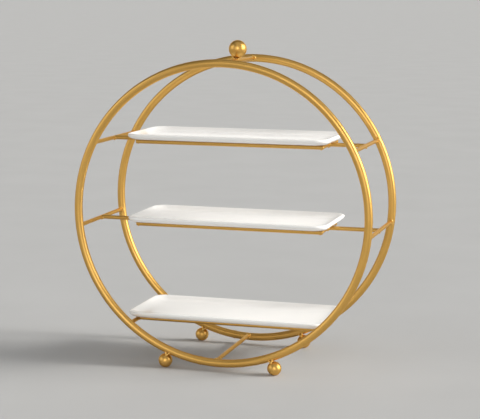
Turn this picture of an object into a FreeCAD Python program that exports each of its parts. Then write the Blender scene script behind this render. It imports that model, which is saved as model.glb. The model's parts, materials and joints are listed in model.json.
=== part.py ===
"""Three-tier cake stand: two upright tube hoops joined by rods, with three lift-off porcelain plates.

Millimetres, +Z up, +X to the right, +Y to the back. The origin is on the table, midway between the feet.
"""
import FreeCAD, Part
import math
import os
import Sketcher

doc = FreeCAD.newDocument("CakeStand")

# ---------------------------------------------------------------- driving dimensions

SIZES = [
    # hoops
    ("ring_diameter", 370, "hoop diameter, to the middle of its tube"),
    ("ring_spacing", 150, "front hoop to rear hoop, middle to middle"),
    ("ring_height", 195, "table to the hoops' centre"),
    ("tube_diameter", 10, "hoop tube, outside"),
    ("tube_wall", 1, "hoop tube wall"),
    # rods
    ("rod_diameter", 5, "every rod"),
    ("bottom_bar_rise", 2, "bottom crossbar, above the middle of the hoop tube"),
    ("bottom_bar_shift", 5, "bottom crossbar, left of the middle"),
    ("upper_rise", 83.5, "upper tray rods, above the hoops' centre"),
    ("middle_drop", 21, "middle tray rods, below the hoops' centre"),
    ("lower_drop", 142.5, "lower tray rods, below the hoops' centre"),
    ("tray_depth", 79, "front rail to rear rail, middle to middle"),
    # balls
    ("foot_diameter", 17.5, "foot ball"),
    ("foot_spacing", 141, "left foot to right foot"),
    ("finial_diameter", 22.5, "finial ball"),
    ("finial_gap", 0.5, "finial ball above the top crossbar"),
    # weld metal
    ("end_bead", 7.6, "lump of weld round a rod's end"),
    ("bead_offset", 0.4, "middle of that lump, off the face that the rod is welded to"),
    ("dressing_drop", 0.3, "weld under a plate is ground this far below the top of the rods"),
    ("corner_bead", 4.4, "lump of weld inside a tray's corner"),
    ("crotch_offset", 0.4, "middle of that lump, off both rods and below their axes"),
    ("neck_diameter", 3.6, "neck of weld that holds a ball"),
    ("seam_width", 3, "closing seam round each hoop's tube"),
    ("seam_height", 0.3, "closing seam, proud of the tube"),
    ("seam_angle", 8, "closing seam, degrees from the lowest point"),
    # plates
    ("plate_length", 260, "rim, left to right"),
    ("plate_width", 120, "rim, front to back"),
    ("plate_height", 8, "underside to the top of the rim"),
    ("plate_corner", 17, "corner radius of the rim"),
    ("base_corner", 11, "corner radius of the underside"),
    ("floor_corner", 11, "corner radius of the flat floor"),
    ("plate_flare", 9.5, "how far the rim overhangs the underside"),
    ("plate_floor", 3.8, "thickness of the floor"),
    ("rim_thickness", 3.8, "thickness of the rim"),
    ("rim_depth", 4, "upright part of the rim"),
    ("floor_inset", 15, "rim's outer edge to the flat floor"),
    ("base_round", 14, "rounding of the underside's edge"),
    ("belt_round", 2.5, "rounding below the rim"),
    ("floor_round", 7, "rounding between floor and wall"),
    ("rim_round", 1.8, "rounding of the rim's two edges"),
    ("plate_clearance", 0.3, "plate above the rods that carry it"),
]

sheet = doc.addObject("Spreadsheet::Sheet", "Sizes")
for row, (alias, value, meaning) in enumerate(SIZES, start=1):
    sheet.set(f"A{row}", meaning)
    sheet.set(f"B{row}", str(value))
    sheet.setAlias(f"B{row}", alias)
doc.recompute()

# Lengths that follow from the driving dimensions, as expressions.
RING_RADIUS = "Sizes.ring_diameter / 2"
TUBE_RADIUS = "Sizes.tube_diameter / 2"
ROD_RADIUS = "Sizes.rod_diameter / 2"
FRONT = "-Sizes.ring_spacing / 2"
REAR = "Sizes.ring_spacing / 2"
TRAY_FRONT = "-Sizes.tray_depth / 2"
TRAY_REAR = "Sizes.tray_depth / 2"
CENTRE_Z = "Sizes.ring_height"
UPPER_Z = "Sizes.ring_height + Sizes.upper_rise"
MIDDLE_Z = "Sizes.ring_height - Sizes.middle_drop"
LOWER_Z = "Sizes.ring_height - Sizes.lower_drop"
TOP_Z = f"Sizes.ring_height + {RING_RADIUS}"
BOTTOM_Z = f"Sizes.ring_height - {RING_RADIUS} + Sizes.bottom_bar_rise"
FINIAL_Z = f"{TOP_Z} + {ROD_RADIUS} + Sizes.finial_gap + Sizes.finial_diameter / 2"


def chord(level):
    """Half the hoop's width at a height above or below its centre: where a crossbar there must sit."""
    return f"sqrt(({RING_RADIUS})^2 - ({level})^2)"


UPPER_REACH = chord("Sizes.upper_rise")
MIDDLE_REACH = chord("Sizes.middle_drop")
# All three trays have the length that the lowest crossbars give the lowest one.
TRAY_REACH = chord("Sizes.lower_drop")

ALONG_X = FreeCAD.Rotation(FreeCAD.Vector(0, 1, 0), 90)
ALONG_Y = FreeCAD.Rotation(FreeCAD.Vector(1, 0, 0), -90)
ALONG_Z = FreeCAD.Rotation()

nodes = []


def keep(thing, label):
    """Marks a finished sub-part: its label is its node's name."""
    thing.Label = label
    nodes.append(thing)
    return thing


def place(thing, x="0", y="0", z="0", turn=ALONG_Z):
    thing.Placement = FreeCAD.Placement(FreeCAD.Vector(), turn)
    for axis, expression in zip("xyz", (x, y, z)):
        thing.setExpression(f"Placement.Base.{axis}", expression)
    return thing


def cylinder(name, radius, length, x, y, z, turn):
    rod = doc.addObject("Part::Cylinder", name)
    rod.setExpression("Radius", radius)
    rod.setExpression("Height", length)
    return place(rod, x, y, z, turn)


def ball(name, diameter, x, y, z):
    sphere = doc.addObject("Part::Sphere", name)
    sphere.setExpression("Radius", f"{diameter} / 2")
    return place(sphere, x, y, z)


def torus(name, radius, section_radius, x, y, z, turn):
    ring = doc.addObject("Part::Torus", name)
    ring.setExpression("Radius1", radius)
    ring.setExpression("Radius2", section_radius)
    return place(ring, x, y, z, turn)


def compound(name, parts):
    group = doc.addObject("Part::Compound", name)
    group.Links = parts
    return group


def cut(name, base, tools):
    """base less each of tools in turn, so that they meet face to face."""
    for number, tool in enumerate(tools, start=1):
        result = doc.addObject("Part::Cut", f"{name}_cut_{number}")
        result.Base = base
        result.Tool = tool
        base = result
    return base


# ---------------------------------------------------------------- hoops

envelopes = {}
rings = {}
for side, depth in (("front", FRONT), ("rear", REAR)):
    outside = torus(f"{side}_envelope", RING_RADIUS, TUBE_RADIUS, "0", depth, CENTRE_Z, ALONG_Y)
    bore = torus(f"{side}_bore", RING_RADIUS, f"{TUBE_RADIUS} - Sizes.tube_wall",
                 "0", depth, CENTRE_Z, ALONG_Y)
    envelopes[side] = outside
    rings[side] = keep(cut(f"{side}_tube", outside, [bore]), f"{side}_ring")
both_rings = [envelopes["front"], envelopes["rear"]]

# ---------------------------------------------------------------- crossbars, from hoop to hoop

CROSSBARS = {
    "top_crossbar": ("0", TOP_Z),
    "bottom_crossbar": ("-Sizes.bottom_bar_shift", BOTTOM_Z),
    "upper_left_crossbar": (f"-{UPPER_REACH}", UPPER_Z),
    "upper_right_crossbar": (UPPER_REACH, UPPER_Z),
    "middle_left_crossbar": (f"-{MIDDLE_REACH}", MIDDLE_Z),
    "middle_right_crossbar": (MIDDLE_REACH, MIDDLE_Z),
    "lower_left_crossbar": (f"-{TRAY_REACH}", LOWER_Z),
    "lower_right_crossbar": (TRAY_REACH, LOWER_Z),
}
crossbars = {}
for name, (x, z) in CROSSBARS.items():
    blank = cylinder(f"{name}_blank", ROD_RADIUS, "Sizes.ring_spacing", x, FRONT, z, ALONG_Y)
    crossbars[name] = keep(cut(f"{name}_coped", blank, both_rings), name)

# ---------------------------------------------------------------- trays

TIERS = {"upper": (UPPER_Z, UPPER_REACH), "middle": (MIDDLE_Z, MIDDLE_REACH)}
rails = {}
arms = {}
for tier, (z, reach) in TIERS.items():
    long_rails = []
    for side, y in (("front", TRAY_FRONT), ("rear", TRAY_REAR)):
        name = f"{tier}_{side}_rail"
        rail = cylinder(f"{name}_rod", ROD_RADIUS, f"2 * {TRAY_REACH} + Sizes.rod_diameter",
                        f"-{TRAY_REACH} - {ROD_RADIUS}", y, z, ALONG_X)
        rails[name] = keep(rail, name)
        long_rails.append(rail)
    for side, sign in (("left", "-"), ("right", "")):
        name = f"{tier}_{side}_side_rail"
        blank = cylinder(f"{name}_blank", ROD_RADIUS, "Sizes.tray_depth",
                         f"{sign}{TRAY_REACH}", TRAY_FRONT, z, ALONG_Y)
        rails[name] = keep(cut(f"{name}_coped", blank, long_rails), name)
    # The arms run from the side rails to the middle of the crossbars outside them.
    for side, start in (("left", f"-{reach}"), ("right", TRAY_REACH)):
        name = f"{tier}_{side}_arm"
        blank = cylinder(f"{name}_blank", ROD_RADIUS, f"{reach} - {TRAY_REACH}", start, "0", z, ALONG_X)
        ends = [rails[f"{tier}_{side}_side_rail"], crossbars[f"{tier}_{side}_crossbar"]]
        arms[name] = keep(cut(f"{name}_coped", blank, ends), name)

# The lowest tray's long rails run between the lowest crossbars, which serve as its sides.
lower_sides = [crossbars["lower_left_crossbar"], crossbars["lower_right_crossbar"]]
for side, y in (("front", TRAY_FRONT), ("rear", TRAY_REAR)):
    name = f"lower_{side}_rail"
    blank = cylinder(f"{name}_blank", ROD_RADIUS, f"2 * {TRAY_REACH}", f"-{TRAY_REACH}", y, LOWER_Z, ALONG_X)
    rails[name] = keep(cut(f"{name}_coped", blank, lower_sides), name)

# ---------------------------------------------------------------- balls

finial = keep(ball("finial_sphere", "Sizes.finial_diameter", "0", "0", FINIAL_Z), "finial_ball")

FEET = [(side, end) for side in ("front", "rear") for end in ("left", "right")]


def foot_centre(side, end):
    x = "Sizes.foot_spacing / 2" if end == "right" else "-Sizes.foot_spacing / 2"
    y = FRONT if side == "front" else REAR
    return x, y, "Sizes.foot_diameter / 2"


feet = {}
for side, end in FEET:
    foot = ball(f"{side}_{end}_sphere", "Sizes.foot_diameter", *foot_centre(side, end))
    feet[side, end] = keep(foot, f"{side}_{end}_foot")

# ---------------------------------------------------------------- weld metal

TIER_Z = {"upper": UPPER_Z, "middle": MIDDLE_Z, "lower": LOWER_Z}


def bead(name, diameter, x, y, z, joined):
    """A lump of weld round a joint: what is left of a ball once the pieces it joins are cut out of it."""
    return cut(name, ball(f"{name}_blank", diameter, x, y, z), joined)


def dressing(tier):
    """The space kept for a plate. Weld is ground down to its floor, just below the top of the rods."""
    slab = doc.addObject("Part::Box", f"{tier}_dressing")
    slab.setExpression("Length", "Sizes.plate_length")
    slab.setExpression("Width", "Sizes.plate_width")
    slab.setExpression("Height", "Sizes.plate_height")
    ground = f"{TIER_Z[tier]} + {ROD_RADIUS} - Sizes.dressing_drop"
    return place(slab, "-Sizes.plate_length / 2", "-Sizes.plate_width / 2", ground)


dressings = {tier: dressing(tier) for tier in TIER_Z}
# From the middle of the hoop's tube to the middle of a bead on its face.
BEAD_STANDOFF = f"{TUBE_RADIUS} + Sizes.bead_offset"

beads = []
for name, (x, z) in CROSSBARS.items():
    for side, y in (("front", f"{FRONT} + {BEAD_STANDOFF}"), ("rear", f"{REAR} - ({BEAD_STANDOFF})")):
        joined = [envelopes[side], crossbars[name]]
        beads.append(bead(f"{name}_{side}_bead", "Sizes.end_bead", x, y, z, joined))
keep(compound("crossbar_beads", beads), "crossbar_welds")

beads = []
for tier, (z, reach) in TIERS.items():
    for side, sign in (("left", -1), ("right", 1)):
        arm = arms[f"{tier}_{side}_arm"]
        side_rail = rails[f"{tier}_{side}_side_rail"]
        crossbar = crossbars[f"{tier}_{side}_crossbar"]
        inner = f"{sign} * ({TRAY_REACH} + {ROD_RADIUS} + Sizes.bead_offset)"
        outer = f"{sign} * ({reach} - {ROD_RADIUS} - Sizes.bead_offset)"
        beads.append(bead(f"{tier}_{side}_inner_bead", "Sizes.end_bead", inner, "0", z,
                          [side_rail, arm, dressings[tier]]))
        beads.append(bead(f"{tier}_{side}_outer_bead", "Sizes.end_bead", outer, "0", z, [crossbar, arm]))
keep(compound("arm_beads", beads), "arm_welds")

# Inside each tray corner, in the crotch between the two rods.
CROTCH = f"{ROD_RADIUS} + Sizes.crotch_offset"
beads = []
for tier, z in TIER_Z.items():
    for side, y in (("front", f"{TRAY_FRONT} + {CROTCH}"), ("rear", f"{TRAY_REAR} - ({CROTCH})")):
        for end, sign in (("left", -1), ("right", 1)):
            # The lowest tray has crossbars for its sides.
            cross = rails.get(f"{tier}_{end}_side_rail", crossbars[f"lower_{end}_crossbar"])
            beads.append(bead(f"{tier}_{side}_{end}_corner", "Sizes.corner_bead",
                              f"{sign} * ({TRAY_REACH} - ({CROTCH}))", y, f"{z} - Sizes.crotch_offset",
                              [rails[f"{tier}_{side}_rail"], cross]))
keep(compound("corner_beads", beads), "tray_welds")

necks = []
for side, end in FEET:
    x, y, z = foot_centre(side, end)
    root_z = f"Sizes.ring_height - {chord('Sizes.foot_spacing / 2')}"
    blank = cylinder(f"{side}_{end}_neck_blank", "Sizes.neck_diameter / 2", f"{root_z} - {z}",
                     x, y, z, ALONG_Z)
    necks.append(cut(f"{side}_{end}_neck", blank, [envelopes[side], feet[side, end]]))
keep(compound("foot_necks", necks), "foot_welds")

neck = cylinder("finial_neck_blank", "Sizes.neck_diameter / 2", f"{FINIAL_Z} - ({TOP_Z})",
                "0", "0", TOP_Z, ALONG_Z)
keep(cut("finial_neck", neck, [finial, crossbars["top_crossbar"]]), "finial_weld")

seams = []
for side, depth in (("front", FRONT), ("rear", REAR)):
    blank = cylinder(f"{side}_seam_blank", f"{TUBE_RADIUS} + Sizes.seam_height", "Sizes.seam_width",
                     f"-{RING_RADIUS} * sin(Sizes.seam_angle)", depth,
                     f"Sizes.ring_height - {RING_RADIUS} * cos(Sizes.seam_angle)", ALONG_X)
    blank.Placement.Rotation = FreeCAD.Rotation(FreeCAD.Vector(0, 1, 0), 90 + sheet.seam_angle)
    seams.append(cut(f"{side}_seam", blank, [envelopes[side]]))
keep(compound("ring_seams", seams), "ring_seam_welds")

# ---------------------------------------------------------------- plates

# Sketcher's numbers for a point of an edge, and for the sketch's own origin.
EDGE_START, EDGE_END, ARC_CENTRE = 1, 2, 3
SKETCH_ORIGIN = (-1, 1)
# The outline as first drawn, before its constraints size it.
DRAFT_X, DRAFT_Y, DRAFT_RADIUS = 100, 50, 10
QUARTER_TURN = math.pi / 2


def origin_plane(body, role):
    return next(feature for feature in body.Origin.OriginFeatures if feature.Role == role)


def draw_rounded_rectangle(sketch):
    """Edges 0 to 3 are the corner arcs, anticlockwise from +X +Y; edge 4 + n is the line after arc n."""
    corners = [(1, 1), (-1, 1), (-1, -1), (1, -1)]
    arcs = []
    for quarter, (side_x, side_y) in enumerate(corners):
        centre = FreeCAD.Vector(side_x * (DRAFT_X - DRAFT_RADIUS), side_y * (DRAFT_Y - DRAFT_RADIUS), 0)
        circle = Part.Circle(centre, FreeCAD.Vector(0, 0, 1), DRAFT_RADIUS)
        arcs.append(Part.ArcOfCircle(circle, quarter * QUARTER_TURN, (quarter + 1) * QUARTER_TURN))
    lines = []
    for quarter, arc in enumerate(arcs):
        lines.append(Part.LineSegment(arc.EndPoint, arcs[(quarter + 1) % 4].StartPoint))
    sketch.addGeometry(arcs + lines, False)


def outline(body, name, inset, height, corner):
    """A rounded rectangle, inset from the rim's outline, on a level plane of the plate's own body."""
    sketch = body.newObject("Sketcher::SketchObject", name)
    sketch.AttachmentSupport = [(origin_plane(body, "XY_Plane"), "")]
    sketch.MapMode = "FlatFace"
    sketch.setExpression("AttachmentOffset.Base.z", height)
    draw_rounded_rectangle(sketch)
    for arc in range(4):
        line, next_arc = arc + 4, (arc + 1) % 4
        sketch.addConstraint(Sketcher.Constraint("Tangent", arc, EDGE_END, line, EDGE_START))
        sketch.addConstraint(Sketcher.Constraint("Tangent", line, EDGE_END, next_arc, EDGE_START))
        sketch.addConstraint(Sketcher.Constraint("Vertical" if arc % 2 else "Horizontal", line))
    for arc in (1, 2, 3):
        sketch.addConstraint(Sketcher.Constraint("Equal", 0, arc))
    sketch.addConstraint(Sketcher.Constraint("Symmetric", 0, ARC_CENTRE, 2, ARC_CENTRE, *SKETCH_ORIGIN))
    straight_x = Sketcher.Constraint("DistanceX", 1, ARC_CENTRE, 0, ARC_CENTRE, 2 * (DRAFT_X - DRAFT_RADIUS))
    straight_y = Sketcher.Constraint("DistanceY", 3, ARC_CENTRE, 0, ARC_CENTRE, 2 * (DRAFT_Y - DRAFT_RADIUS))
    sizes = {
        "corner_radius": (Sketcher.Constraint("Radius", 0, DRAFT_RADIUS), corner),
        "straight_x": (straight_x, f"Sizes.plate_length - 2 * ({inset}) - 2 * ({corner})"),
        "straight_y": (straight_y, f"Sizes.plate_width - 2 * ({inset}) - 2 * ({corner})"),
    }
    for size, (constraint, expression) in sizes.items():
        sketch.renameConstraint(sketch.addConstraint(constraint), size)
        sketch.setExpression(f"Constraints.{size}", expression)
    return sketch


def loft(body, kind, name, first, others):
    feature = body.newObject(kind, name)
    feature.Profile = first
    feature.Sections = others
    feature.Ruled = True
    return feature


LEVEL = 0.001


def level_edges(shape, height):
    """Names of the edges that lie flat at one height."""
    names = []
    for number, edge in enumerate(shape.Edges, start=1):
        box = edge.BoundBox
        if abs(box.ZMin - height) < LEVEL and abs(box.ZMax - height) < LEVEL:
            names.append(f"Edge{number}")
    return names


def fillet(body, name, base, height, radius):
    doc.recompute()
    feature = body.newObject("PartDesign::Fillet", name)
    feature.Base = (base, level_edges(base.Shape, height))
    feature.setExpression("Radius", radius)
    doc.recompute()
    return feature


def plate(name, rods_z):
    """A shallow rectangular dish whose walls flare up and out to a rounded rim."""
    body = doc.addObject("PartDesign::Body", name + "_body")
    under = outline(body, name + "_underside", "Sizes.plate_flare", "0", "Sizes.base_corner")
    belt = outline(body, name + "_belt", "0", "Sizes.plate_height - Sizes.rim_depth", "Sizes.plate_corner")
    rim = outline(body, name + "_rim", "0", "Sizes.plate_height", "Sizes.plate_corner")
    loft(body, "PartDesign::AdditiveLoft", name + "_outside", under, [belt, rim])
    floor = outline(body, name + "_floor", "Sizes.floor_inset", "Sizes.plate_floor", "Sizes.floor_corner")
    mouth = outline(body, name + "_mouth", "Sizes.rim_thickness", "Sizes.plate_height",
                    "Sizes.plate_corner - Sizes.rim_thickness")
    hollow = loft(body, "PartDesign::SubtractiveLoft", name + "_hollow", floor, [mouth])
    soft_floor = fillet(body, name + "_floor_round", hollow, sheet.plate_floor, "Sizes.floor_round")
    soft_base = fillet(body, name + "_base_round", soft_floor, 0, "Sizes.base_round")
    soft_belt = fillet(body, name + "_belt_round", soft_base, sheet.plate_height - sheet.rim_depth,
                       "Sizes.belt_round")
    soft_rim = fillet(body, name + "_rim_round", soft_belt, sheet.plate_height, "Sizes.rim_round")
    body.Tip = soft_rim
    body.setExpression("Placement.Base.z", f"{rods_z} + {ROD_RADIUS} + Sizes.plate_clearance")
    return keep(body, name)


for tier, z in TIER_Z.items():
    plate(f"{tier}_plate", z)

# ---------------------------------------------------------------- check and write

doc.recompute()
for thing in doc.Objects:
    if "Invalid" in thing.State or "Error" in thing.State:
        raise RuntimeError(f"{thing.Name} failed: {thing.State}")
os.makedirs("parts", exist_ok=True)
for node in nodes:
    if node.Shape.isNull() or not node.Shape.isValid():
        raise RuntimeError(f"{node.Label} has no valid shape")
    node.Shape.exportStep(f"parts/{node.Label}.step")
print(len(nodes), "nodes written")
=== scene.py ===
"""Looks for the tiered cake stand: gold-painted welded tube and rod, white porcelain plates, a pale studio.

Metres, +Z up, +X to the right, +Y to the back. Lengths written in millimetres are multiplied by MM.
"""
import json
import math
import random

import bmesh
import bpy
from mathutils import Matrix, Vector, noise


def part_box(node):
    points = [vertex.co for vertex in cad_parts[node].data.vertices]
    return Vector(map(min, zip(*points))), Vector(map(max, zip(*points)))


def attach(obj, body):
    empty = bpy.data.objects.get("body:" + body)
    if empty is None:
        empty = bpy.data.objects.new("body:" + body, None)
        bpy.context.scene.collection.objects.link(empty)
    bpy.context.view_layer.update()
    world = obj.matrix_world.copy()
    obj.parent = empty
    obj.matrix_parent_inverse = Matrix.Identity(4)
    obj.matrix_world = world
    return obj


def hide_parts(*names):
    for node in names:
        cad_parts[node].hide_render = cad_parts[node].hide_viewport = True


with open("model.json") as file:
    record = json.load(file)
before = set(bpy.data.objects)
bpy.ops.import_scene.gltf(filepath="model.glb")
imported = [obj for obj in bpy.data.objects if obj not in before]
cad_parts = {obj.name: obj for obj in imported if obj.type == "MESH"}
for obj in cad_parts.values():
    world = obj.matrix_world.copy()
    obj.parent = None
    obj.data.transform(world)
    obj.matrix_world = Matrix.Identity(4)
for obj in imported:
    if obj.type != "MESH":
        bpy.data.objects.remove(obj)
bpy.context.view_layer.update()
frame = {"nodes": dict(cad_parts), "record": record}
nodes = frame["nodes"]
MM = 0.001
TIERS = ("upper", "middle", "lower")
# The default view transform makes the white glaze and the gold both look grey.
bpy.context.scene.view_settings.view_transform = "Standard"

# ---------------------------------------------------------------- materials

GOLD = (0.74, 0.44, 0.115, 1)
GOLD_DEEP = (0.65, 0.37, 0.088, 1)
WELD_GOLD = (0.80, 0.50, 0.14, 1)
# The paint keeps its yellow where it is seen edge-on.
GOLD_EDGE = (1.0, 0.80, 0.48, 1)
PORCELAIN = (0.90, 0.89, 0.868, 1)
POOLED_GLAZE = (0.875, 0.868, 0.845, 1)
FLOOR_TONE = (0.455, 0.455, 0.45, 1)
FLOOR_TONE_2 = (0.475, 0.475, 0.47, 1)

# How much finer noise a grain carries.
SMOOTH_DETAIL = 1.0
DETAIL = 2.0
FINE_DETAIL = 3.0
# Gold paint: cells to the metre, the range of its roughness, and its lacquer.
FLAKE_CELLS = 2600
CLOUD_CELLS = 38
CLOUD_DEPTH = 0.45
SHEEN_CELLS = 60
SHEEN = (0.33, 0.43)
PEEL_CELLS = 1900
PEEL_DEPTH = 0.012 * MM
METALLIC = 0.92
LACQUER = 0.18
LACQUER_ROUGHNESS = 0.09
# Glaze: cells to the metre, the range of its roughness, and its relief.
POOLING_CELLS = 26
GLOSS_CELLS = 70
GLOSS = (0.07, 0.13)
PINHOLE_CELLS = 900
PINHOLE_EDGE = (0.20, 0.24)
PINHOLE_DEPTH = 0.05 * MM
WAVE_CELLS = 22
WAVE_HEIGHT = 0.35 * MM


def material(name):
    """A new node material, with its node tree and its shader."""
    made = bpy.data.materials.new(name)
    made.use_nodes = True
    tree = made.node_tree
    return made, tree, tree.nodes["Principled BSDF"]


def grain(tree, cells, detail=DETAIL):
    """Noise in the object's own space, with that many cells to the metre."""
    place = tree.nodes.new("ShaderNodeTexCoord")
    texture = tree.nodes.new("ShaderNodeTexNoise")
    texture.inputs["Scale"].default_value = cells
    texture.inputs["Detail"].default_value = detail
    tree.links.new(place.outputs["Object"], texture.inputs["Vector"])
    return texture.outputs["Fac"]


def spread(tree, value, low, high, start=0.3, end=0.7):
    """Maps value's stretch from start to end onto low to high. Most noise lies between 0.3 and 0.7."""
    ramp = tree.nodes.new("ShaderNodeMapRange")
    ramp.inputs["From Min"].default_value = start
    ramp.inputs["From Max"].default_value = end
    ramp.inputs["To Min"].default_value = low
    ramp.inputs["To Max"].default_value = high
    tree.links.new(value, ramp.inputs["Value"])
    return ramp.outputs["Result"]


def blend_colours(tree, factor, first, second):
    """From first to second as factor goes from 0 to 1. Each is a colour or another node's output."""
    mix = tree.nodes.new("ShaderNodeMix")
    mix.data_type = "RGBA"
    for socket, colour in (("A", first), ("B", second)):
        if isinstance(colour, tuple):
            mix.inputs[socket].default_value = colour
        else:
            tree.links.new(colour, mix.inputs[socket])
    tree.links.new(factor, mix.inputs["Factor"])
    return mix.outputs["Result"]


def bump(tree, height, distance, under=None):
    """A bump of that many metres, on top of another one if it is given."""
    node = tree.nodes.new("ShaderNodeBump")
    node.inputs["Distance"].default_value = distance
    tree.links.new(height, node.inputs["Height"])
    if under:
        tree.links.new(under, node.inputs["Normal"])
    return node.outputs["Normal"]


def gold_paint(name, tone, deep_tone, ripple, ripple_cells):
    """Satin metallic paint under a thin clear lacquer: fine flake, uneven sheen and a surface ripple."""
    made, tree, shader = material(name)
    flake = spread(tree, grain(tree, FLAKE_CELLS, FINE_DETAIL), 0.0, 1.0)
    cloud = spread(tree, grain(tree, CLOUD_CELLS, FINE_DETAIL), 0.0, CLOUD_DEPTH)
    flaked = blend_colours(tree, flake, tone, deep_tone)
    tree.links.new(blend_colours(tree, cloud, flaked, deep_tone), shader.inputs["Base Color"])
    tree.links.new(spread(tree, grain(tree, SHEEN_CELLS, FINE_DETAIL), *SHEEN), shader.inputs["Roughness"])
    rippled = bump(tree, grain(tree, ripple_cells), ripple)
    tree.links.new(bump(tree, grain(tree, PEEL_CELLS), PEEL_DEPTH, rippled), shader.inputs["Normal"])
    shader.inputs["Metallic"].default_value = METALLIC
    shader.inputs["Specular Tint"].default_value = GOLD_EDGE
    shader.inputs["Coat Weight"].default_value = LACQUER
    shader.inputs["Coat Roughness"].default_value = LACQUER_ROUGHNESS
    return made


def porcelain():
    """Gloss white glaze: a slow waviness, faint pooling and a few pinholes."""
    made, tree, shader = material("porcelain_glaze")
    pooling = spread(tree, grain(tree, POOLING_CELLS), 0.0, 1.0)
    tree.links.new(blend_colours(tree, pooling, PORCELAIN, POOLED_GLAZE), shader.inputs["Base Color"])
    tree.links.new(spread(tree, grain(tree, GLOSS_CELLS), *GLOSS), shader.inputs["Roughness"])
    pinholes = spread(tree, grain(tree, PINHOLE_CELLS, SMOOTH_DETAIL), 1.0, 0.0, *PINHOLE_EDGE)
    waves = bump(tree, grain(tree, WAVE_CELLS, SMOOTH_DETAIL), WAVE_HEIGHT)
    tree.links.new(bump(tree, pinholes, -PINHOLE_DEPTH, waves), shader.inputs["Normal"])
    return made


def paint_node(name, made):
    """Gives a CAD node one material and smooth shading."""
    data = nodes[name].data
    data.materials.clear()
    data.materials.append(made)
    for face in data.polygons:
        face.use_smooth = True


gold = gold_paint("gold_paint", GOLD, GOLD_DEEP, ripple=0.03 * MM, ripple_cells=240)
weld_gold = gold_paint("weld_paint", WELD_GOLD, GOLD, ripple=0.16 * MM, ripple_cells=900)
glaze = porcelain()
SLOT_MATERIALS = {"gold_paint": gold, "weld_paint": weld_gold, "porcelain": glaze}
for entry in frame["record"]["subparts"]:
    paint_node(entry["node"], SLOT_MATERIALS[entry["material_slot"]])

# ---------------------------------------------------------------- pieces made here


def new_piece(name, mesh, body, slot_name, stands_for):
    """Puts a finished mesh in the scene in place of a CAD node."""
    data = bpy.data.meshes.new(name)
    mesh.to_mesh(data)
    mesh.free()
    for face in data.polygons:
        face.use_smooth = True
    data.materials.append(SLOT_MATERIALS[slot_name])
    piece = bpy.data.objects.new(name, data)
    bpy.context.scene.collection.objects.link(piece)
    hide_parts(stands_for)
    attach(piece, body)
    return piece


def middle(node):
    """The middle of a CAD node's box."""
    low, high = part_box(node)
    return (low + high) / 2


def extent(node):
    """The size of a CAD node's box."""
    low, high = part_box(node)
    return high - low


# ---------------------------------------------------------------- plates

# The plate's section in millimetres, from the middle of the underside out round the rim and in to the
# floor: distance in from the rim's edge, and height above the underside.
PLATE_SECTION = [
    (34, 1.0),  # recess in the underside
    (27, 1.0),
    (25.5, 0.0),  # flat ring that the plate stands on
    (11.5, 0.0),
    (6.0, 0.7),  # outer wall, bulging out to the rim
    (2.2, 2.4),
    (-0.1, 5.2),
    (0.5, 7.6),  # rolled rim
    (2.6, 8.5),
    (5.0, 7.6),
    (9.0, 5.9),  # inner wall, easing into the floor
    (14.5, 4.5),
    (21, 3.9),
    (30, 3.8),
]
# The corner radius in millimetres at the rim's edge, and how much of it each millimetre inwards takes off.
RIM_CORNER = 17
CORNER_LOSS = 0.45
CORNER_STEPS = 6
SMOOTHING_LEVELS = 2
# The sides of X and Y that the four corners lie on, anticlockwise.
QUARTERS = ((1, 1), (-1, 1), (-1, -1), (1, -1))


def rounded_rectangle(half_x, half_y, corner):
    """Points anticlockwise round a rounded rectangle about the origin, as many whatever its size."""
    points = []
    for quarter, (side_x, side_y) in enumerate(QUARTERS):
        for step in range(CORNER_STEPS + 1):
            angle = (quarter + step / CORNER_STEPS) * math.pi / 2
            points.append((side_x * (half_x - corner) + corner * math.cos(angle),
                           side_y * (half_y - corner) + corner * math.sin(angle)))
    return points


def plate(tier):
    """A shallow dish with a rolled rim, its outline that of the CAD plate."""
    node = f"{tier}_plate"
    low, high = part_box(node)
    centre = (low + high) / 2
    half_x = (high.x - low.x) / 2
    half_y = (high.y - low.y) / 2
    mesh = bmesh.new()
    loops = []
    for inset, height in PLATE_SECTION:
        corner = (RIM_CORNER - CORNER_LOSS * inset) * MM
        outline = rounded_rectangle(half_x - inset * MM, half_y - inset * MM, corner)
        level = low.z + height * MM
        loops.append([mesh.verts.new((centre.x + x, centre.y + y, level)) for x, y in outline])
    count = len(loops[0])
    for inner, outer in zip(loops, loops[1:]):
        for point in range(count):
            after = (point + 1) % count
            mesh.faces.new((inner[point], outer[point], outer[after], inner[after]))
    mesh.faces.new(loops[0][::-1])
    mesh.faces.new(loops[-1])
    bmesh.ops.recalc_face_normals(mesh, faces=mesh.faces)
    piece = new_piece(f"{tier}_porcelain", mesh, node, "porcelain", node)
    smoothing = piece.modifiers.new("smoothing", "SUBSURF")
    smoothing.levels = SMOOTHING_LEVELS
    smoothing.render_levels = SMOOTHING_LEVELS


for tier in TIERS:
    plate(tier)

# ---------------------------------------------------------------- weld metal

SEED = 11
dice = random.Random(SEED)
RING_CENTRE = {side: middle(f"{side}_ring") for side in ("front", "rear")}
TUBE_RADIUS = extent("front_ring").y / 2
RING_RADIUS = extent("front_ring").x / 2 - TUBE_RADIUS
ROD_RADIUS = extent("upper_front_rail").y / 2
BEAD = 1.25 * MM
BEAD_STEP = 1.3 * MM
STRAND_STEP = BEAD_STEP * 0.7
# How a bead's size varies along a strand and round a collar, and its place round a collar, in steps.
STRAND_VARIATION = (0.85, 1.15)
BEAD_VARIATION = (0.75, 1.2)
BEAD_JITTER = 0.25
# A collar bead's middle stands off the rod by this part of the bead's radius.
BEAD_STANDOFF = 0.25
LUMPINESS = 0.16
LUMPS_PER_METRE = 700
VOXEL = 0.4 * MM
MELT_FACTOR = 0.5
MELT_ROUNDS = 2


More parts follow.
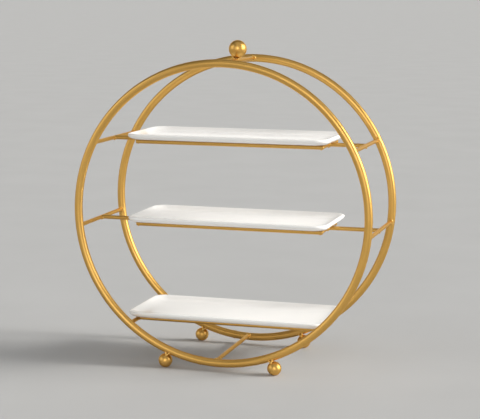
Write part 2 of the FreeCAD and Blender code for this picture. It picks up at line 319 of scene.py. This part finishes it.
def bead(mesh, centre, radius, stretch=(1, 1, 1)):
    """One drop of weld metal: a ball, stretched and a little lumpy."""
    made = bmesh.ops.create_icosphere(mesh, subdivisions=2, radius=1)
    for vert in made["verts"]:
        lump = 1 + LUMPINESS * noise.noise((centre + vert.co * radius) * LUMPS_PER_METRE)
        vert.co = centre + Vector(a * b for a, b in zip(vert.co, stretch)) * radius * lump


def strand(mesh, start, end, radius):
    """A run of overlapping beads, thicker and thinner along its way."""
    steps = max(2, math.ceil((end - start).length / STRAND_STEP))
    for step in range(steps + 1):
        bead(mesh, start.lerp(end, step / steps), radius * dice.uniform(*STRAND_VARIATION))


def face_of_ring(side, inward, point):
    """Moves a point along Y onto the face of a hoop's tube that looks at the other hoop."""
    centre = RING_CENTRE[side]
    off_axis = math.hypot(point.x - centre.x, point.z - centre.z) - RING_RADIUS
    depth = math.sqrt(max(0, TUBE_RADIUS ** 2 - off_axis ** 2))
    return Vector((point.x, centre.y + inward * depth, point.z))


def face_of_rod(centre, axis, outward, point):
    """Moves a point along axis (0 for X, 1 for Y) onto the side of a level rod through centre."""
    depth = math.sqrt(max(0, ROD_RADIUS ** 2 - (point.z - centre.z) ** 2))
    moved = point.copy()
    moved[axis] = centre[axis] + outward * depth
    return moved


def collar(mesh, centre, axis, settle, highest=None, size=1.0):
    """Beads round the end of a rod that runs along axis, each settled onto what the rod is welded to.

    No bead reaches above highest, which keeps the weld clear of a plate. A neat weld has a size below 1.
    """
    across = (1, 2) if axis == 0 else (0, 2)
    around = ROD_RADIUS + BEAD * size * BEAD_STANDOFF
    count = math.ceil(2 * math.pi * around / BEAD_STEP)
    for number in range(count):
        angle = 2 * math.pi * (number + dice.uniform(-BEAD_JITTER, BEAD_JITTER)) / count
        radius = BEAD * size * dice.uniform(*BEAD_VARIATION)
        point = centre.copy()
        point[across[0]] += around * math.cos(angle)
        point[across[1]] += around * math.sin(angle)
        if highest is not None and point.z + radius > highest:
            continue
        bead(mesh, settle(point), radius)


def weld(name, mesh):
    """Fuses a mesh of beads into one molten-looking skin that stands for a CAD weld node."""
    piece = new_piece(f"{name}_metal", mesh, "stand", "weld_paint", name)
    fuse = piece.modifiers.new("fuse", "REMESH")
    fuse.mode = "VOXEL"
    fuse.voxel_size = VOXEL
    fuse.use_smooth_shade = True
    melt = piece.modifiers.new("melt", "SMOOTH")
    melt.factor = MELT_FACTOR
    melt.iterations = MELT_ROUNDS


CROSSBARS = ["top_crossbar", "bottom_crossbar"]
CROSSBARS += [f"{tier}_{end}_crossbar" for tier in TIERS for end in ("left", "right")]
# From the bottom crossbar's front end the weld runs on a little way along the hoop. It starts above the
# rod's axis by part of the rod's radius, and part of the way out to the tube's face.
TAIL = 5.5 * MM
TAIL_RADIUS = BEAD * 0.8
TAIL_LIFT = 0.6
TAIL_DEPTH = 0.6


def crossbar_welds():
    """At both ends of every crossbar, settled onto the hoops."""
    mesh = bmesh.new()
    for name in CROSSBARS:
        for side, inward in (("front", 1), ("rear", -1)):
            centre = middle(name)
            collar(mesh, centre, 1, lambda point: face_of_ring(side, inward, point))
    beside = middle("bottom_crossbar") + Vector((-ROD_RADIUS, 0, ROD_RADIUS * TAIL_LIFT))
    start = face_of_ring("front", TAIL_DEPTH, beside)
    strand(mesh, start, start + Vector((-TAIL, 0, 0)), TAIL_RADIUS)
    weld("crossbar_welds", mesh)


# The weld at an arm's outer end reaches this much of the rod's radius above its axis.
OUTER_WELD_TOP = 0.8


def arm_welds():
    """At both ends of every arm: under the plate on the side rail, and outside it on the crossbar."""
    mesh = bmesh.new()
    for tier in ("upper", "middle"):
        for end, outward in (("left", -1), ("right", 1)):
            arm = middle(f"{tier}_{end}_arm")
            rail = middle(f"{tier}_{end}_side_rail")
            crossbar = middle(f"{tier}_{end}_crossbar")
            collar(mesh, arm, 0, lambda point: face_of_rod(rail, 0, outward, point), arm.z + ROD_RADIUS)
            outer_top = arm.z + ROD_RADIUS * OUTER_WELD_TOP
            collar(mesh, arm, 0, lambda point: face_of_rod(crossbar, 0, -outward, point), outer_top)
    weld("arm_welds", mesh)


# A tray's corner welds are ground neater than the others.
NEAT = 0.62
# The cap on a long rail's end is a ball of the rod's radius, flattened along the rail.
CAP = (0.24, 0.90, 0.90)


def tray_welds():
    """A collar at each tray corner, under the plate, and a cap where a long rail passes its side rail."""
    mesh = bmesh.new()
    for tier in TIERS:
        for depth, inward in (("front", 1), ("rear", -1)):
            rail = middle(f"{tier}_{depth}_rail")
            top = rail.z + ROD_RADIUS
            for end, outward in (("left", -1), ("right", 1)):
                if tier == "lower":
                    crossbar = middle(f"lower_{end}_crossbar")
                    collar(mesh, rail, 0, lambda point: face_of_rod(crossbar, 0, -outward, point), top, NEAT)
                    continue
                corner = middle(f"{tier}_{end}_side_rail")
                corner.y = rail.y
                collar(mesh, corner, 1, lambda point: face_of_rod(rail, 1, inward, point), top, NEAT)
                cap = corner + Vector((outward * ROD_RADIUS, 0, 0))
                bead(mesh, cap, ROD_RADIUS, CAP)
    weld("tray_welds", mesh)


# Radii of a neck and of a run of weld beside it, and half the gap between the fork's two starts.
NECK = 1.7 * MM
STRAND = 1.15 * MM
FORK = 2.4 * MM
# A neck starts and ends a little inside what it joins: parts of the tube's, ball's and rod's radius.
NECK_IN_TUBE = 0.9
NECK_IN_FOOT = 0.95
NECK_IN_BAR = 0.9
NECK_IN_FINIAL = 0.97
# Where a run leaves the tube and meets the ball, round from the line between their middles.
TUBE_LEAN = math.radians(58)
BALL_LEAN = math.radians(34)


def foot_welds():
    """Each foot hangs from its hoop by a short neck, with a forked run of weld in front and one behind."""
    mesh = bmesh.new()
    for side in ("front", "rear"):
        for end in ("left", "right"):
            foot = middle(f"{side}_{end}_foot")
            foot_radius = extent(f"{side}_{end}_foot").x / 2
            out = (foot - RING_CENTRE[side]).normalized()
            along = Vector((out.z, 0, -out.x))
            tube = RING_CENTRE[side] + out * RING_RADIUS
            root = tube + out * (TUBE_RADIUS * NECK_IN_TUBE)
            strand(mesh, root, foot - out * (foot_radius * NECK_IN_FOOT), NECK)
            for facing, forks in ((-1, (-FORK, FORK)), (1, (0,))):
                front = Vector((0, facing, 0))
                on_ball = foot + (front * math.sin(BALL_LEAN) - out * math.cos(BALL_LEAN)) * foot_radius
                for fork in forks:
                    on_tube = tube + (front * math.sin(TUBE_LEAN) + out * math.cos(TUBE_LEAN)) * TUBE_RADIUS
                    strand(mesh, on_tube + along * fork, on_ball, STRAND)
    weld("foot_welds", mesh)


# The runs of weld under the finial: which side each is on, and how far up the ball it climbs, in degrees.
FINIAL_RUNS = ((-1, 41), (-1, 22), (1, 24))
FINIAL_STRAND = STRAND * 0.9
# A run meets the ball forward of its side by about this much of the radius. It starts on the bar, aside
# and up by parts of the rod's radius, and forward by a length for each degree that it climbs.
CLIMB_FORWARD = 0.18
START_ASIDE = 0.6
START_UP = 0.75
START_FORWARD = 0.16 * MM


def finial_weld():
    """The finial stands on the top crossbar on a neck, with runs of weld that climb its sides."""
    mesh = bmesh.new()
    ball = middle("finial_ball")
    ball_radius = extent("finial_ball").x / 2
    bar = middle("top_crossbar")
    root = bar + Vector((0, 0, ROD_RADIUS * NECK_IN_BAR))
    strand(mesh, root, ball - Vector((0, 0, ball_radius * NECK_IN_FINIAL)), NECK)
    for side, lean in FINIAL_RUNS:
        angle = math.radians(lean)
        climb = Vector((side * math.sin(angle), -CLIMB_FORWARD, -math.cos(angle))).normalized()
        start = bar + Vector((side * ROD_RADIUS * START_ASIDE, -lean * START_FORWARD, ROD_RADIUS * START_UP))
        strand(mesh, start, ball + climb * ball_radius, FINIAL_STRAND)
    weld("finial_weld", mesh)


crossbar_welds()
arm_welds()
tray_welds()
foot_welds()
finial_weld()

# ---------------------------------------------------------------- studio

FLOOR_SIZE = 240
FLOOR_CELLS = 6
FLOOR_DETAIL = 4.0
FLOOR_ROUGHNESS = 0.75


def floor():
    """A plain pale floor, wide enough to fill every view."""
    bpy.ops.mesh.primitive_plane_add(size=FLOOR_SIZE)
    plane = bpy.context.object
    plane.name = "studio_floor"
    made, tree, shader = material("studio_floor")
    shade = spread(tree, grain(tree, FLOOR_CELLS, FLOOR_DETAIL), 0.0, 1.0)
    tree.links.new(blend_colours(tree, shade, FLOOR_TONE, FLOOR_TONE_2), shader.inputs["Base Color"])
    shader.inputs["Roughness"].default_value = FLOOR_ROUGHNESS
    plane.data.materials.append(made)


def lamp(name, towards, strength, softness, colour=(1, 1, 1), in_gloss=True):
    """A distant soft light that stands in that direction, softness degrees across.

    One that is not in_gloss lights surfaces and throws shadows, but does not show as a highlight.
    """
    light = bpy.data.lights.new(name, "SUN")
    light.energy = strength
    light.angle = math.radians(softness)
    light.color = colour
    sun = bpy.data.objects.new(name, light)
    bpy.context.scene.collection.objects.link(sun)
    sun.rotation_euler = Vector(towards).to_track_quat("Z", "Y").to_euler()
    sun.visible_glossy = in_gloss


WARM = (1, 0.97, 0.92)
WORLD_LOW = (0.65, 0.64, 0.62, 1)
WORLD_HIGH = (0.10, 0.105, 0.11, 1)
# The sky is at its darkest from this height up, on a unit sphere.
SKY_TOP = 0.6


def sky():
    """A soft surround, palest at the horizon."""
    world = bpy.data.worlds.new("studio")
    bpy.context.scene.world = world
    world.use_nodes = True
    tree = world.node_tree
    direction = tree.nodes.new("ShaderNodeTexCoord")
    parts = tree.nodes.new("ShaderNodeSeparateXYZ")
    tree.links.new(direction.outputs["Generated"], parts.inputs["Vector"])
    height = spread(tree, parts.outputs["Z"], 0.0, 1.0, 0.0, SKY_TOP)
    shade = blend_colours(tree, height, WORLD_LOW, WORLD_HIGH)
    tree.links.new(shade, tree.nodes["Background"].inputs["Color"])


floor()
# Each lamp's direction, strength, width in degrees and colour.
lamp("key_right", (1.6, 0.34, 0.78), 2.4, 13, WARM, in_gloss=False)
lamp("key_glow", (1.6, 0.3, 0.66), 2.7, 38)
lamp("front_fill", (0.35, -1.8, 0.45), 0.75, 44)
lamp("fill_left", (-1.6, -0.9, 0.75), 0.5, 40)
lamp("back", (-0.45, 1.6, 0.3), 0.36, 60, WARM)
lamp("overhead", (0.15, -0.35, 1.4), 0.35, 60)
lamp("front_spark", (0.55, -1.8, 0.35), 0.16, 4)
sky()

# ---------------------------------------------------------------- camera

CAMERA_PLACE = Vector((0.537, -1.8185, 0.4711))
YAW, PITCH, ROLL = math.radians(-16.34), math.radians(-8.38), math.radians(0.25)
LENS = 113.4
SENSOR = 36


def camera():
    """Turns by YAW from looking along +Y, then tips by PITCH and rolls by ROLL."""
    forward = Vector((math.sin(YAW) * math.cos(PITCH), math.cos(YAW) * math.cos(PITCH), math.sin(PITCH)))
    level = Vector((math.cos(YAW), -math.sin(YAW), 0))
    upright = level.cross(forward)
    right = math.cos(ROLL) * level + math.sin(ROLL) * upright
    up = math.cos(ROLL) * upright - math.sin(ROLL) * level
    data = bpy.data.cameras.new("camera")
    data.lens = LENS
    data.sensor_width = SENSOR
    view = bpy.data.objects.new("camera", data)
    bpy.context.scene.collection.objects.link(view)
    turn = Matrix((right, up, -forward)).transposed().to_4x4()
    view.matrix_world = Matrix.Translation(CAMERA_PLACE) @ turn
    bpy.context.scene.camera = view


camera()
